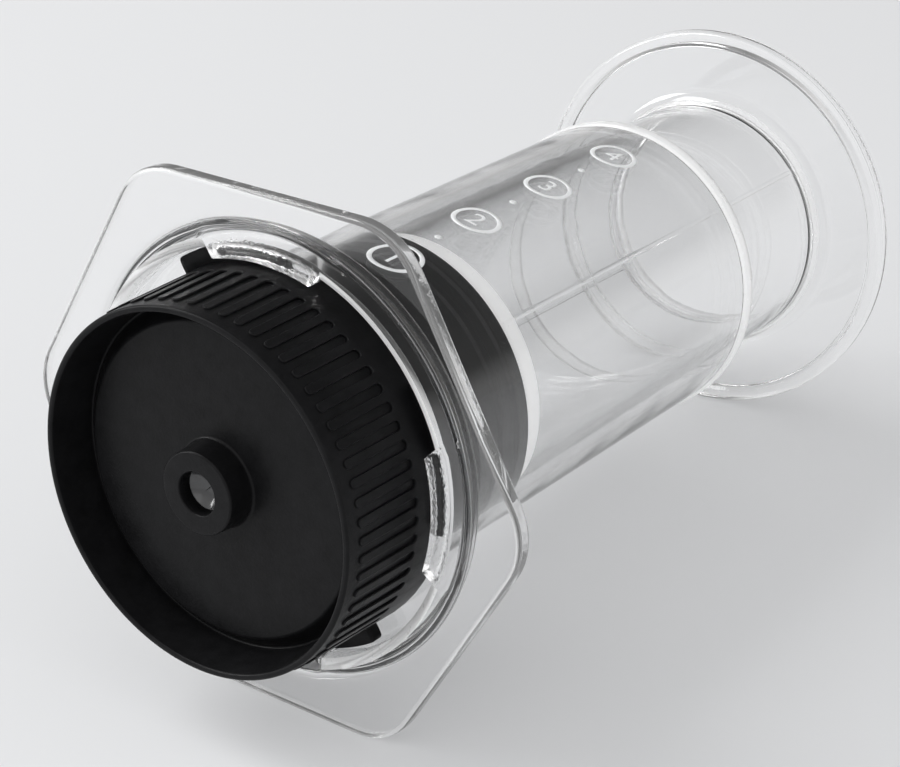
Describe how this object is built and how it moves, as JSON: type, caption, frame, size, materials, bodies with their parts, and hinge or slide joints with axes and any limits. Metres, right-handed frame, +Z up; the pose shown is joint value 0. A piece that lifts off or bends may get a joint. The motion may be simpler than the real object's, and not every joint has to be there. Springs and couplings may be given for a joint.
{
  "type": "piston coffee press",
  "caption": "Hand coffee press: a plunger with a rubber seal slides in a clear tube with a hexagonal flange; a black twist-off cap holds filter and valve.",
  "frame": {"origin": "on the surface that the press lies on, under the middle of its box", "axes": "+Y along the press from the filter cap to the plunger's flange, +Z up; the press axis dips 1.9 degrees towards the plunger's flange, because the two flanges that it lies on differ in size"},
  "size_m": [0.1124, 0.1878, 0.1012],
  "materials": {
    "chamber": "clear polished copolyester",
    "plunger": "clear polished copolyester",
    "plunger_seal": "black moulded rubber, satin",
    "filter_cap": "black moulded plastic, fine matte texture",
    "filter_plate": "black moulded plastic, matte",
    "valve_retainer": "black moulded plastic, matte",
    "outlet_valve": "translucent whitish silicone",
    "paper_filter": "white filter paper"
  },
  "bodies": {
    "chamber": {"chamber": "chamber"},
    "seal": {"plunger_seal": "plunger_seal"},
    "plunger": {"plunger": "plunger"},
    "cap": {"filter_cap": "filter_cap", "filter_plate": "filter_plate", "paper_filter": "paper_filter", "outlet_valve": "outlet_valve", "valve_retainer": "valve_retainer"}
  },
  "joints": [
    {"name": "plunger_slide", "type": "slide", "parent": "chamber", "child": "seal", "axis": [0, 0.9994, -0.0332], "range_m": [0, 0.108]},
    {"name": "plunger_turn", "type": "hinge", "parent": "seal", "child": "plunger", "pos_m": [0, -0.03331, 0.04932], "axis": [0, 0.9994, -0.0332], "continuous": true},
    {"name": "cap_twist", "type": "hinge", "parent": "chamber", "child": "cap", "pos_m": [0, -0.09273, 0.0513], "axis": [0, 0.9994, -0.0332], "range_deg": [-30.5, 0]}
  ]
}
